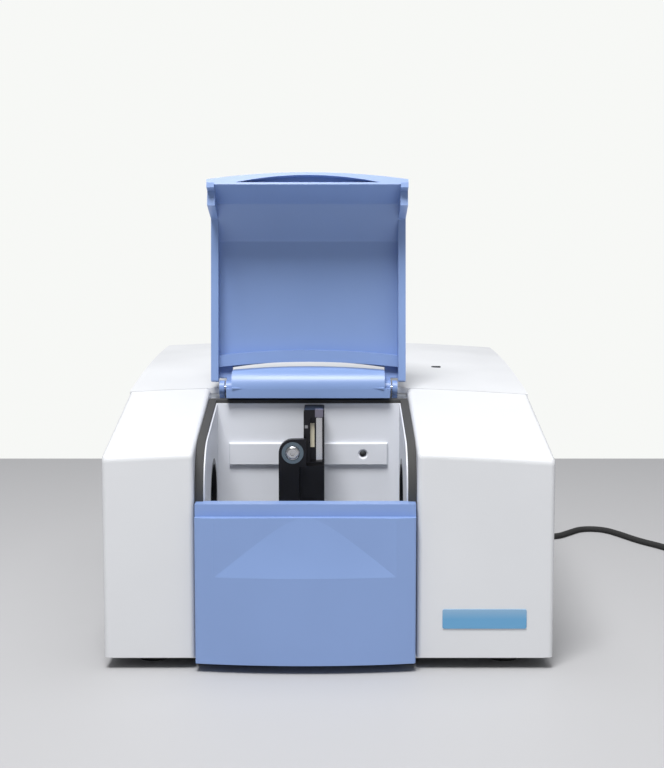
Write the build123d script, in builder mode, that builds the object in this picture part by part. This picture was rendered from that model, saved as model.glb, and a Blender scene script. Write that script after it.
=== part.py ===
"""Bench infrared spectrometer: a base unit, an exchangeable sampling module and its hinged lid.

Millimetres. +X to the right, +Y to the back, +Z up, seen from the front.
The origin is on the table under the middle of the housing.
"""

import os

from math import atan2, cos, degrees, radians, sin, tan

from build123d import *

# Driving dimensions: housing
width = 220.0
depth = 300.0
foot_height = 6.0
wall = 3.0
module_depth = 110.0
seam_gap = 0.6
bulk_top = 112.0
panel_proud = 9.5
roof_front = 108.5
roof_seam = 129.2
roof_middle = 137.8
roof_back = 141.0
crown_radius = 1700.0
edge_round = 2.5
break_round = 4.0
fit = 0.2
shaft_fit = 0.05

# Driving dimensions: the slot between the front housings
slot_x = -11.2
slot_width = 108.6
tub_wall = 4.6
tub_floor = 3.0
frame_plate = 2.5
rim_setback = 6.0
rim_drop_front = 2.0
rim_drop_back = 4.3
rim_round = 26.0
seal_thickness = 1.6
seal_lip = 0.7
back_wall_setback = 12.0

# Driving dimensions: blue front panel
side_gap = 0.7
panel_bottom = 4.6
ledge_height = 76.4
band_height = 6.0
band_setback = 3.5
panel_sag = 4.5
panel_shell = 3.0
panel_round = 1.2
scoop_height = 28.8
scoop_depth = 4.0
scoop_radius = 980.0
scoop_reach = 46.0

# Driving dimensions: lid, drawn closed and then turned open about its pins
lid_gap = 0.8
lid_side_gap = 1.2
lid_overhang = 1.6
lid_wall = 3.0
lid_sag = 4.0
lid_pitch = 13.5
lid_front_lean = 7.0
lid_front_height = 24.0
lid_crease = 2.0
flange = 4.0
seal_clearance = 0.4
lid_open_angle = 106.0
pivot_setback = 5.2
pivot_z = 129.1
pin_radius = 1.5
knuckle_radius = 4.0
knuckle_width = 3.2
ear_width = 2.8
hinge_gap = 0.4
cover_radius = 11.4
cover_crown = 464.0
cover_width = 83.0
cover_foot = 2.8
hinge_floor = 123.1
rear_reach = 12.4
shoulder_reach = 6.0
rail_width = 6.3
rail_drop = 6.5
rail_sag = 3.2
groove_half_width = 38.0
groove_depth = 5.0

# Driving dimensions: beam and sample holder
port_radius = 21.0
port_setback = 39.0
port_z = 74.0
sleeve_wall = 3.0
window_thickness = 4.0
bar_length = 86.3
bar_height = 12.1
bar_thickness = 2.0
bar_z = 93.6
bar_hole_x = 29.8
tapped_radius = 2.0
plate_width = 14.4
plate_setback = 48.0
plate_top = 106.4
plate_thickness = 5.0
upright_width = 10.8
upright_setback = 40.0
upright_top = 121.0
block_top = 92.0
clip_thickness = 0.6

# Worked out from the driving dimensions
front_y = -depth / 2
back_y = depth / 2
tower_front = front_y + panel_proud
seam_y = front_y + module_depth
module_back = seam_y - seam_gap
back_wall_y = seam_y - back_wall_setback
pivot_y = seam_y - pivot_setback
port_y = seam_y - port_setback
plate_front = seam_y - plate_setback
upright_front = seam_y - upright_setback
slot_left = slot_x - slot_width / 2
slot_right = slot_x + slot_width / 2
crown_z = roof_front - crown_radius
crown_arc = 12.0
roof_slope = (roof_seam - roof_front) / (seam_y - tower_front)
roof_angle = degrees(atan2(roof_seam - roof_front, seam_y - tower_front))
crown_axis = Axis((slot_x, 0, crown_z), (0, 1, 0))
crown_start = Plane(
    origin=(slot_x, 0, crown_z),
    x_dir=(0, 1, 0),
    z_dir=(cos(radians(crown_arc / 2)), 0, sin(radians(crown_arc / 2))),
)
frame_bottom = foot_height - frame_plate
frame_inset = 3.0
inside_left = -width / 2 + wall + fit
inside_right = width / 2 - wall - fit
tub_left = slot_left + fit
tub_right = slot_right - fit
panel_back = tower_front + rim_setback + seal_thickness
beam_y = port_y
beam_z = port_z

os.makedirs("parts", exist_ok=True)


def keep(builder, name):
    """Label a finished piece and write it as its own file."""
    builder.part.label = name
    export_step(builder.part, f"parts/{name}.step")


def front_roof(y):
    """Height of the front housings' straight roof on the crown line."""
    return roof_front + roof_slope * (y - tower_front)


def front_form(inset, left, right, bottom, back):
    """Front housing between two side planes, its front and roof drawn in by inset."""
    front = tower_front + inset
    drop = inset / cos(radians(roof_angle))
    with BuildPart() as form:
        with BuildSketch(crown_start) as side:
            with BuildLine():
                Polyline(
                    (front, bottom - wall - crown_z),
                    (front, front_roof(front) - drop - crown_z),
                    (back, front_roof(back) - drop - crown_z),
                    (back, bottom - wall - crown_z),
                    close=True,
                )
            make_face()
            brow = side.vertices().group_by(Axis.X)[0].sort_by(Axis.Y)[-1]
            fillet(brow, max(break_round - inset, 0.5))
        revolve(axis=crown_axis, revolution_arc=crown_arc)
        with BuildSketch(Plane.XY.offset(bottom)):
            with Locations(((left + right) / 2, 0)):
                Rectangle(right - left, depth)
        extrude(amount=roof_back, mode=Mode.INTERSECT)
    return form.part


def rear_form(inset, left, right, bottom, front, back):
    """Rear housing between its planes, the arched roof drawn in by inset."""
    with BuildPart() as form:
        with BuildSketch(crown_start):
            with BuildLine():
                roof = ThreePointArc(
                    (seam_y, roof_seam - inset - crown_z),
                    ((seam_y + back_y) / 2, roof_middle - inset - crown_z),
                    (back_y, roof_back - inset - crown_z),
                )
                Polyline(
                    roof @ 1,
                    (back_y, bottom - wall - crown_z),
                    (seam_y, bottom - wall - crown_z),
                    roof @ 0,
                )
            make_face()
        revolve(axis=crown_axis, revolution_arc=crown_arc)
        with BuildSketch(Plane.XY.offset(bottom)):
            with Locations(((left + right) / 2, (front + back) / 2)):
                Rectangle(right - left, back - front)
        extrude(amount=roof_back, mode=Mode.INTERSECT)
    return form.part


def rim_profile(drop, bottom, back):
    """Side outline of the tub's rim, its sloping edge lowered by drop."""
    front = tower_front + rim_setback + drop
    low = front_roof(tower_front) - rim_drop_front - drop
    high = front_roof(seam_y) - rim_drop_back - drop
    slope = (high - low) / (seam_y - tower_front)
    with BuildSketch(Plane.YZ) as outline:
        with BuildLine():
            Polyline(
                (front, bottom),
                (front, low + slope * (front - tower_front)),
                (back, low + slope * (back - tower_front)),
                (back, bottom),
                close=True,
            )
        make_face()
        brow = outline.vertices().group_by(Axis.X)[0].sort_by(Axis.Y)[-1]
        fillet(brow, rim_round - drop)
    return outline.sketch


def bar_of(face, start, length):
    """A side outline pushed along X from start."""
    with BuildPart() as bar:
        add(extrude(Pos(start, 0, 0) * face, length, dir=(1, 0, 0)))
    return bar.part


# Front housings, one each side of the sample slot
frame_back = module_back - frame_plate
towers = (
    ("left_tower_cover", -width / 2, slot_left, slot_left - wall),
    ("right_tower_cover", slot_right, width / 2, slot_right),
)
for name, left, right, slot_wall in towers:
    outer = front_form(0, left, right, foot_height, module_back)
    inner = front_form(wall, left + wall, right - wall, 0, back_y)
    with BuildPart() as tower:
        add(outer)
        front_face = tower.faces().sort_by(Axis.Y)[0]
        fillet(front_face.edges().filter_by(Axis.Z), edge_round)
        add(inner, mode=Mode.SUBTRACT)
        with BuildSketch(Plane.YZ.offset(slot_wall)):
            with Locations((port_y, port_z)):
                Circle(port_radius)
            with Locations((frame_back + depth / 2, bulk_top / 2)):
                Rectangle(depth, bulk_top)
        extrude(amount=wall, mode=Mode.SUBTRACT)
    keep(tower, name)

# Frame of the module: floor plate and back plate in one casting
connector_x = width / 2 - 32.0
connector_z = 44.0
connector_width = 32.0
connector_height = 12.0
window_x = 26.0 - width / 2
window_radius = 15.0
guide_x = width / 2 - 13.0
guide_z = 22.0
guide_radius = 3.0
guide_length = 34.0
with BuildPart() as module_frame:
    with BuildSketch(Plane.XY.offset(frame_bottom)):
        with Locations((0, (panel_back + module_back) / 2)):
            Rectangle(width - 2 * frame_inset, module_back - panel_back)
    extrude(amount=frame_plate)
    with BuildSketch(Plane.XZ.offset(-module_back)):
        with Locations((0, (foot_height + bulk_top) / 2)):
            Rectangle(inside_right - inside_left, bulk_top - foot_height)
        with Locations((window_x, beam_z)):
            Circle(window_radius + wall, mode=Mode.SUBTRACT)
        with Locations((connector_x, connector_z)):
            Rectangle(connector_width + 1, connector_height + 1, mode=Mode.SUBTRACT)
        with Locations((-guide_x, guide_z), (guide_x, guide_z)):
            Circle(guide_radius + shaft_fit, mode=Mode.SUBTRACT)
    extrude(amount=frame_plate)
keep(module_frame, "module_frame")

# Compartment tub with a port in each side wall
tub_outline = rim_profile(seal_thickness, foot_height, back_wall_y + tub_wall)
shelf_depth = module_back - back_wall_y - tub_wall
pocket_front = tower_front + rim_setback + seal_thickness + tub_wall
with BuildPart() as compartment_tub:
    add(bar_of(tub_outline, tub_left, tub_right - tub_left))
    with BuildSketch(Plane.XY.offset(bulk_top)):
        with Locations((slot_x, module_back - shelf_depth / 2)):
            Rectangle(tub_right - tub_left, shelf_depth)
    extrude(amount=hinge_floor - bulk_top)
    with BuildSketch(Plane.XY.offset(foot_height + tub_floor)):
        with Locations((slot_x, (pocket_front + back_wall_y) / 2)):
            Rectangle(tub_right - tub_left - 2 * tub_wall, back_wall_y - pocket_front)
    extrude(amount=roof_back, mode=Mode.SUBTRACT)
    with BuildSketch(Plane.XY.offset(ledge_height)):
        with Locations((slot_x, pocket_front)):
            Rectangle(tub_right - tub_left - 2 * tub_wall, 4 * tub_wall)
    extrude(amount=roof_back, mode=Mode.SUBTRACT)
    with BuildSketch(Plane.YZ.offset(tub_left)):
        with Locations((port_y, port_z)):
            Circle(port_radius)
    extrude(amount=tub_right - tub_left, mode=Mode.SUBTRACT)
    with BuildSketch(Plane.XZ.offset(-back_wall_y)):
        with Locations((slot_x + bar_hole_x, bar_z)):
            Circle(tapped_radius)
    extrude(amount=-tub_wall, mode=Mode.SUBTRACT)
keep(compartment_tub, "compartment_tub")

# Soft seal laid on the rim, down both sides and across the back
seal_outline = rim_profile(0, ledge_height + band_height, back_wall_y + tub_wall)
seal_width = tub_wall - seal_lip
with BuildPart() as compartment_seal:
    add(bar_of(seal_outline, tub_left, tub_right - tub_left))
    add(bar_of(tub_outline, slot_left, slot_width), mode=Mode.SUBTRACT)
    with BuildSketch(Plane.XY.offset(foot_height)):
        with Locations((slot_x, back_wall_y - depth / 2 + seal_lip)):
            Rectangle(tub_right - tub_left - 2 * seal_width, depth)
    extrude(amount=roof_back, mode=Mode.SUBTRACT)
keep(compartment_seal, "compartment_seal")

# Front panel: a bowed shell with a set-back band along its top and a shallow scoop
panel_half = slot_width / 2 - side_gap
panel_end = front_y + panel_sag
bow_radius = (panel_half**2 + panel_sag**2) / (2 * panel_sag)
band_front = panel_end + band_setback
scoop_y = front_y + scoop_depth - scoop_radius
bow_axis = Axis((slot_x, front_y + bow_radius, 0), (0, 0, 1))
scoop_low = ledge_height - scoop_height
scoop_arc = 2 * degrees(scoop_reach / bow_radius)
scoop_start = Plane(
    origin=(slot_x, front_y + bow_radius, 0),
    x_dir=(-sin(radians(scoop_arc / 2)), -cos(radians(scoop_arc / 2)), 0),
    z_dir=(-cos(radians(scoop_arc / 2)), sin(radians(scoop_arc / 2)), 0),
)
with BuildPart() as scoop:
    with BuildSketch(scoop_start):
        with BuildLine():
            ramp = ThreePointArc(
                (bow_radius, scoop_low),
                (bow_radius - scoop_depth * 0.65, scoop_low + scoop_height / 2),
                (bow_radius - scoop_depth, ledge_height),
            )
            Polyline(
                ramp @ 1,
                (bow_radius + wall, ledge_height),
                (bow_radius + wall, scoop_low),
                ramp @ 0,
            )
        make_face()
    revolve(axis=bow_axis, revolution_arc=scoop_arc)
    with BuildSketch(Plane.XY.offset(scoop_low)):
        with Locations((slot_x, scoop_y)):
            Circle(scoop_radius)
    extrude(amount=scoop_height, mode=Mode.INTERSECT)
with BuildPart() as front_panel:
    with BuildSketch(Plane.XY.offset(panel_bottom)):
        with BuildLine():
            bow = ThreePointArc(
                (slot_x - panel_half, panel_end),
                (slot_x, front_y),
                (slot_x + panel_half, panel_end),
            )
            Polyline(
                bow @ 1,
                (slot_x + panel_half, panel_back),
                (slot_x - panel_half, panel_back),
                bow @ 0,
            )
        make_face()
    extrude(amount=ledge_height - panel_bottom)
    fillet(front_panel.edges().filter_by(Axis.Z).group_by(Axis.Y)[0], panel_round)
    add(scoop.part, mode=Mode.SUBTRACT)
    with BuildSketch(Plane.XY.offset(ledge_height)):
        with Locations((slot_x, (band_front + panel_back) / 2)):
            Rectangle(2 * panel_half, panel_back - band_front)
    extrude(amount=band_height)
    with BuildSketch(Plane.XY.offset(panel_bottom + panel_shell)):
        with Locations((slot_x, (band_front + panel_back) / 2)):
            Rectangle(2 * (panel_half - panel_shell), panel_back - band_front)
    extrude(amount=ledge_height - panel_bottom - 2 * panel_shell, mode=Mode.SUBTRACT)
    with BuildSketch(Plane.XY.offset(ledge_height - panel_shell)):
        with Locations((slot_x, (band_front + panel_shell + panel_back) / 2)):
            Rectangle(2 * (panel_half - panel_shell), panel_back - band_front - panel_shell)
    extrude(amount=band_height, mode=Mode.SUBTRACT)
keep(front_panel, "front_panel")

# Hinge: two ears with pins, and a crowned cover between them
ear_offset = cover_width / 2 + 2 * hinge_gap + knuckle_width + hinge_gap
with BuildPart() as hinge_brackets:
    for side in (-1, 1):
        inner_x = slot_x + side * ear_offset
        with BuildSketch(Plane.YZ.offset(min(inner_x, inner_x + side * ear_width))):
            with Locations((pivot_y, pivot_z)):
                Circle(knuckle_radius)
            with Locations(((pivot_y + module_back) / 2, (hinge_floor + pivot_z) / 2)):
                Rectangle(module_back - pivot_y, pivot_z - hinge_floor)
            with Locations((pivot_y, pivot_z)):
                Circle(pin_radius + shaft_fit, mode=Mode.SUBTRACT)
        extrude(amount=ear_width)
keep(hinge_brackets, "hinge_brackets")

pin_length = ear_width + hinge_gap + knuckle_width
with BuildPart() as hinge_pins:
    for side in (-1, 1):
        outer_x = slot_x + side * (ear_offset + ear_width)
        with BuildSketch(Plane.YZ.offset(min(outer_x, outer_x - side * pin_length))):
            with Locations((pivot_y, pivot_z)):
                Circle(pin_radius)
        extrude(amount=pin_length)
keep(hinge_pins, "hinge_pins")

cover_bottom = hinge_floor + 1.5
with BuildPart() as hinge_cover:
    with BuildSketch(Plane.YZ.offset(slot_x)):
        with BuildLine():
            nose = CenterArc((pivot_y, pivot_z), cover_radius, 90, 90)
            Polyline(
                nose @ 1,
                (pivot_y - cover_radius, cover_bottom),
                (back_wall_y + tub_wall, cover_bottom),
                (back_wall_y + tub_wall, hinge_floor),
                (module_back, hinge_floor),
                (module_back, pivot_z + cover_radius),
                nose @ 0,
            )
        make_face()
    extrude(amount=cover_width / 2, both=True)
    with BuildSketch(Plane.XZ.offset(-module_back)):
        with Locations((slot_x, pivot_z + cover_radius - cover_crown)):
            Circle(cover_crown)
    extrude(amount=depth / 2, mode=Mode.INTERSECT)
    foot_back = pivot_y - knuckle_radius - hinge_gap
    foot_top = pivot_z + hinge_gap
    with BuildSketch(Plane.XY.offset(cover_bottom)):
        with Locations((slot_x, (pivot_y - cover_radius + foot_back) / 2)):
            Rectangle(cover_width + 2 * cover_foot, foot_back - pivot_y + cover_radius)
    extrude(amount=foot_top - cover_bottom)
keep(hinge_cover, "hinge_cover")

# Lid: a crowned hood of plate, facet and front, with flanges, rear rail, arms and a grooved lip
lid_half = slot_width / 2 - lid_side_gap
lid_floor = ledge_height + lid_gap
lip = (band_front - lid_gap - lid_overhang, lid_floor)
band_clear = ledge_height + band_height + lid_gap
chin = (lip[0] + lid_front_height * tan(radians(lid_front_lean)), lid_floor + lid_front_height)
brow_y = front_y + 25.0
brow = (brow_y, chin[1] + brow_y - chin[0])
tail_y = pivot_y - rear_reach
tail = (tail_y, brow[1] + (tail_y - brow_y) * tan(radians(lid_pitch)))
lid_section = Plane(
    origin=(slot_x, tail[0], tail[1]),
    x_dir=(1, 0, 0),
    z_dir=(0, -cos(radians(lid_pitch)), -sin(radians(lid_pitch))),
)
lid_deck = Plane(
    origin=(slot_x, tail[0], tail[1]),
    x_dir=(1, 0, 0),
    z_dir=(0, -sin(radians(lid_pitch)), cos(radians(lid_pitch))),
)
rim_high = front_roof(seam_y) - rim_drop_back + seal_clearance
rim_low = front_roof(tower_front) - rim_drop_front + seal_clearance
rim_rise = (rim_high - rim_low) / (seam_y - tower_front)
flange_front = tower_front + rim_setback - seal_clearance
flange_back = pivot_y - knuckle_radius
shoulder_width = lid_half - flange - cover_width / 2 - hinge_gap - knuckle_width
with BuildPart() as lid_closed:
    with BuildLine(Plane.YZ.offset(slot_x)) as lid_path:
        FilletPolyline(tail, brow, chin, lip, radius=lid_crease)
    with BuildSketch(lid_section):
        with BuildLine():
            crown = ThreePointArc((-lid_half, lid_wall), (0, lid_wall + lid_sag), (lid_half, lid_wall))
            Polyline(crown @ 1, (lid_half, 0), (-lid_half, 0), crown @ 0)
        make_face()
    sweep(path=lid_path.line)
    for side in (-1, 1):
        edge_x = slot_x + side * lid_half
        with BuildSketch(Plane.YZ.offset(min(edge_x, edge_x - side * flange))):
            with BuildLine():
                Polyline(
                    (lip[0] - 1, lid_floor),
                    (chin[0] - 1, chin[1]),
                    (brow[0], brow[1] + 1),
                    (tail[0], tail[1] + 1),
                    (flange_back - 1, pivot_z + knuckle_radius / 2),
                    (flange_back + 1, pivot_z - 1),
                    (flange_back + 1, rim_low + rim_rise * (flange_back + 1 - tower_front)),
                    (flange_front, rim_low + rim_rise * (flange_front - tower_front)),
                    (flange_front, band_clear),
                    (band_front - lid_gap, band_clear),
                    (band_front - lid_gap, lid_floor),
                    close=True,
                )
            make_face()
        extrude(amount=flange)
        arm_x = slot_x + side * (cover_width / 2 + hinge_gap)
        with BuildSketch(Plane.YZ.offset(min(arm_x, arm_x + side * knuckle_width))):
            with BuildLine():
                Polyline(
                    (tail[0] - rail_width, tail[1]),
                    (tail[0], tail[1] + 1.5),
                    (pivot_y, pivot_z + knuckle_radius),
                    (pivot_y - 1, pivot_z + knuckle_radius / 2),
                    (tail[0] - rail_width, tail[1] - 2.5),
                    close=True,
                )
            make_face()
            with Locations((pivot_y, pivot_z)):
                Circle(knuckle_radius)
                Circle(pin_radius + shaft_fit, mode=Mode.SUBTRACT)
        extrude(amount=knuckle_width)
        shoulder_x = arm_x + side * knuckle_width
        with BuildSketch(Plane.YZ.offset(min(shoulder_x, shoulder_x + side * shoulder_width))):
            with BuildLine():
                Polyline(
                    (tail[0] - rail_width, tail[1]),
                    (tail[0], tail[1] + 1.5),
                    (pivot_y - shoulder_reach, pivot_z + knuckle_radius),
                    (pivot_y - shoulder_reach, pivot_z + knuckle_radius / 2),
                    (tail[0] - rail_width, tail[1] - 2.5),
                    close=True,
                )
            make_face()
        extrude(amount=shoulder_width)
    with BuildSketch(lid_deck):
        with BuildLine():
            rear = ThreePointArc((-lid_half + 1, 0), (0, -rail_sag), (lid_half - 1, 0))
            front = ThreePointArc(
                (-lid_half + 1, -rail_width), (0, -rail_sag - rail_width), (lid_half - 1, -rail_width)
            )
            Line(rear @ 0, front @ 0)
            Line(rear @ 1, front @ 1)
        make_face()
    extrude(amount=-rail_drop)
    with BuildSketch(lid_deck.offset(-rail_drop - 1)):
        with BuildLine():
            hollow = ThreePointArc((-cover_width / 2, 0), (0, -rail_sag), (cover_width / 2, 0))
            Line(hollow @ 0, hollow @ 1)
        make_face()
    extrude(amount=rail_drop + lid_wall + lid_sag + 2, mode=Mode.SUBTRACT)
    with BuildSketch(Plane.XY.offset(lid_floor)):
        with BuildLine():
            near = ThreePointArc(
                (slot_x - groove_half_width, lip[0] - 1.2),
                (slot_x, lip[0] - lid_wall - lid_sag + 1.6),
                (slot_x + groove_half_width, lip[0] - 1.2),
            )
            Line(near @ 0, near @ 1)
        make_face()
    extrude(amount=groove_depth, mode=Mode.SUBTRACT)
hinge_axis = Axis((0, pivot_y, pivot_z), (1, 0, 0))
with BuildPart() as lid:
    add(lid_closed.part.rotate(hinge_axis, -lid_open_angle))
keep(lid, "lid")

# Mounting bar on the back wall, its free hole tapped and countersunk
with BuildPart() as mounting_bar:
    with BuildSketch(Plane.XZ.offset(-back_wall_y)):
        with Locations((slot_x, bar_z)):
            Rectangle(bar_length, bar_height)
    extrude(amount=bar_thickness)
    front_edges = mounting_bar.faces().sort_by(Axis.Y)[0].edges()
    chamfer(front_edges, 0.5)
    with Locations(Plane(
        origin=(slot_x + bar_hole_x, back_wall_y - bar_thickness, bar_z),
        x_dir=(1, 0, 0),
        z_dir=(0, -1, 0),
    )):
        CounterSinkHole(radius=tapped_radius, counter_sink_radius=tapped_radius + 0.8, depth=bar_thickness)
keep(mounting_bar, "mounting_bar")

# Black sleeves and beam windows in the ports
port_walls = (
    (slot_left - wall, tub_left + tub_wall),
    (tub_right - tub_wall, slot_right + wall),
)
with BuildPart() as port_sleeves:
    for low_x, high_x in port_walls:
        with BuildSketch(Plane.YZ.offset(low_x)):
            with Locations((port_y, port_z)):
                Circle(port_radius - shaft_fit)
                Circle(port_radius - sleeve_wall, mode=Mode.SUBTRACT)
        extrude(amount=high_x - low_x)
keep(port_sleeves, "port_sleeves")
with BuildPart() as port_windows:
    for low_x, high_x in port_walls:
        with BuildSketch(Plane.YZ.offset((low_x + high_x - window_thickness) / 2)):
            with Locations((port_y, port_z)):
                Circle(port_radius - sleeve_wall - shaft_fit)
        extrude(amount=window_thickness)
keep(port_windows, "port_windows")

# Sample holder: side plate, slide block with its upright, two spring clips, screw and washer
block_left = -15.5
block_right = -2.4
upright_left = block_right - upright_width
block_front = upright_front - 4.0
block_back = back_wall_y - bar_thickness
holder_floor = foot_height + tub_floor
plate_left = -26.1
screw_x = plate_left + plate_width / 2 + 0.1
screw_z = 99.5
slide_slot = 6.6
slot_low = block_top + 1.5
slot_high = upright_top - 4.2
slot_mid_x = upright_left + upright_width * 0.61
with BuildPart() as holder_plate:
    with BuildSketch(Plane.XZ.offset(-plate_front)) as plate_outline:
        with BuildLine():
            Polyline(
                (plate_left, holder_floor),
                (plate_left, plate_top),
                (plate_left + plate_width, plate_top),
                (plate_left + plate_width, block_top),
                (block_left, block_top),
                (block_left, holder_floor),
                close=True,
            )
        make_face()
        fillet(plate_outline.vertices().group_by(Axis.Y)[-1].sort_by(Axis.X)[0], plate_width / 2)
        with Locations((screw_x, screw_z)):
            Circle(tapped_radius + shaft_fit, mode=Mode.SUBTRACT)
    extrude(amount=-plate_thickness)
    with BuildSketch(Plane.XY.offset(holder_floor)):
        with Locations(((plate_left + block_left) / 2, (plate_front + plate_thickness + back_wall_y) / 2)):
            Rectangle(block_left - plate_left, back_wall_y - plate_front - plate_thickness)
    extrude(amount=wall)
keep(holder_plate, "holder_plate")

with BuildPart() as slide_block:
    with BuildSketch(Plane.XY.offset(holder_floor)):
        with Locations(((block_left + block_right) / 2, (block_front + block_back) / 2)):
            Rectangle(block_right - block_left, block_back - block_front)
    extrude(amount=block_top - holder_floor)
    with BuildSketch(Plane.XY.offset(block_top)):
        with Locations((upright_left + upright_width / 2, upright_front + 12.0)):
            Rectangle(upright_width, 24.0)
    extrude(amount=upright_top - block_top)
    fillet(slide_block.faces().sort_by(Axis.Z)[-1].edges().filter_by(Axis.Y), 0.8)
    with BuildSketch(Plane.XZ.offset(-upright_front + 1.0)):
        with Locations((slot_mid_x, (slot_low + slot_high) / 2)):
            Rectangle(slide_slot, slot_high - slot_low)
    extrude(amount=-5.0, mode=Mode.SUBTRACT)
keep(slide_block, "slide_block")

strip_width = 2.2
strip_height = 12.7
strip_low = 7.3
leaf_width = 3.2
leaf_gap = 0.15
groove_left = slot_mid_x - slide_slot / 2
with BuildPart() as spring_clips:
    with BuildSketch(Plane.XZ.offset(-upright_front - 4.0)):
        with Locations((groove_left + leaf_gap + strip_width / 2, slot_low + strip_low + strip_height / 2)):
            Rectangle(strip_width, strip_height)
        with Locations((groove_left + slide_slot - leaf_gap - leaf_width / 2, (slot_low + slot_high) / 2)):
            Rectangle(leaf_width, slot_high - slot_low)
    extrude(amount=clip_thickness)
keep(spring_clips, "spring_clips")

screw_head = 3.8
washer_radius = 5.7
washer_thickness = 1.0
with BuildPart() as holder_washer:
    with BuildSketch(Plane.XZ.offset(-plate_front)):
        with Locations((screw_x, screw_z)):
            Circle(washer_radius)
            Circle(tapped_radius + shaft_fit, mode=Mode.SUBTRACT)
    extrude(amount=washer_thickness)
keep(holder_washer, "holder_washer")

with BuildPart() as holder_screw:
    with BuildSketch(Plane.XZ.offset(-plate_front - plate_thickness)):
        with Locations((screw_x, screw_z)):
            Circle(tapped_radius)
    extrude(amount=plate_thickness + washer_thickness)
    with BuildSketch(Plane.XZ.offset(-plate_front + washer_thickness)):
        with Locations((screw_x, screw_z)):
            Circle(screw_head)
    extrude(amount=2.2)
    fillet(holder_screw.faces().sort_by(Axis.Y)[0].edges(), 1.5)
    with BuildSketch(Plane.XZ.offset(-plate_front + washer_thickness + 2.2)):
        with Locations((screw_x, screw_z)):
            RegularPolygon(1.3, 6)
    extrude(amount=-1.2, mode=Mode.SUBTRACT)
keep(holder_screw, "holder_screw")


def pillar(x, y, low, high, size):
    """A square pillar standing between two heights."""
    with BuildPart() as post:
        with BuildSketch(Plane.XY.offset(low)):
            with Locations((x, y)):
                Rectangle(size, size)
        extrude(amount=high - low)
    return post.part


def disc_at(x, y, z, turn, radius, thickness):
    """A round mirror whose front face stands at x, y, z, turned about the upright."""
    face = Plane(origin=(x, y, z), x_dir=(0, 0, 1), z_dir=(cos(radians(turn)), sin(radians(turn)), 0))
    with BuildPart() as disc:
        with BuildSketch(face):
            Circle(radius)
        extrude(amount=-thickness)
    return disc.part


def mount_at(x, y, z, turn, radius, low, depth_behind, thickness):
    """The upright block that carries a round mirror on its turned face."""
    back = Plane(
        origin=(x, y, low),
        x_dir=(-sin(radians(turn)), cos(radians(turn)), 0),
        z_dir=(0, 0, 1),
    )
    with BuildPart() as block:
        with BuildSketch(back):
            with Locations((0, depth_behind + thickness / 2)):
                Rectangle(1.6 * radius, thickness)
        extrude(amount=z + radius - low)
    return block.part


# Focusing mirrors in the front housings, and the detector
mirror_radius = 15.0
mirror_thickness = 6.0
mount_thickness = 5.0
left_mirror_x = window_x
right_mirror_x = slot_right + wall + 32.0
focus = ((left_mirror_x, 45.0), (right_mirror_x, 135.0))
with BuildPart() as focusing_mirrors:
    for mirror_x, turn in focus:
        add(disc_at(mirror_x, beam_y, beam_z, turn, mirror_radius, mirror_thickness))
keep(focusing_mirrors, "focusing_mirrors")
with BuildPart() as mirror_mounts:
    for mirror_x, turn in focus:
        add(mount_at(
            mirror_x, beam_y, beam_z, turn, mirror_radius, foot_height, mirror_thickness, mount_thickness
        ))
keep(mirror_mounts, "mirror_mounts")

detector_depth = 14.0
detector_size = 28.0
with BuildPart() as detector_module:
    with BuildSketch(Plane.XZ.offset(-frame_back)):
        with Locations((right_mirror_x, beam_z)):
            Rectangle(detector_size, detector_size)
    extrude(amount=detector_depth)
    with BuildSketch(Plane.XZ.offset(-frame_back + detector_depth)):
        with Locations((right_mirror_x, beam_z)):
            Circle(7.0)
            Circle(5.0, mode=Mode.SUBTRACT)
    extrude(amount=4.0)
keep(detector_module, "detector_module")

with BuildPart() as module_connector:
    with BuildSketch(Plane.XZ.offset(-frame_back)):
        with Locations((connector_x, connector_z)):
            Rectangle(connector_width + 6, connector_height + 6)
            Rectangle(connector_width - 2, connector_height - 2, mode=Mode.SUBTRACT)
    extrude(amount=3.0)
keep(module_connector, "module_connector")

# Base unit: cover, tray and the bulkhead that faces the module
tray_top = foot_height
panel_width = 150.0
panel_height = 74.0
panel_z = 54.0
screw_radius = 1.5
boss_radius = 4.0
boss_x = width / 2 - wall - boss_radius - 1.0
boss_front = seam_y + 18.0
boss_back = back_y - wall - boss_radius - 3.0
boss_places = [(x, y) for x in (-boss_x, boss_x) for y in (boss_front, boss_back)]
cover_outer = rear_form(0, -width / 2, width / 2, foot_height, seam_y, back_y)
cover_inner = rear_form(wall, -width / 2 + wall, width / 2 - wall, 0, seam_y - wall, back_y - wall)
lamp_x = 64.0
lamp_y = 26.0
lamp_length = 5.6
lamp_width = 3.2
with BuildPart() as cover_shell:
    add(cover_outer)
    rear_face = cover_shell.faces().sort_by(Axis.Y)[-1]
    fillet(rear_face.edges().filter_by(Axis.Z), edge_round)
    add(cover_inner, mode=Mode.SUBTRACT)
with BuildPart() as base_cover:
    with BuildSketch(Plane.XY.offset(tray_top)):
        with Locations(*boss_places):
            Circle(boss_radius)
    extrude(amount=roof_back - tray_top)
    add(cover_outer, mode=Mode.INTERSECT)
    add(cover_shell.part)
    with BuildSketch(Plane.XY.offset(tray_top)):
        with Locations(*boss_places):
            Circle(screw_radius + shaft_fit)
    extrude(amount=12.0, mode=Mode.SUBTRACT)
    with BuildSketch(Plane.XZ.offset(-back_y)):
        with Locations((0, panel_z)):
            Rectangle(panel_width, panel_height)
    extrude(amount=wall, mode=Mode.SUBTRACT)
    with BuildSketch(Plane.XY.offset(roof_front)):
        with Locations((lamp_x, lamp_y)):
            SlotOverall(lamp_length + 2 * shaft_fit, lamp_width + 2 * shaft_fit)
    extrude(amount=roof_back, mode=Mode.SUBTRACT)
keep(base_cover, "base_cover")

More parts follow.
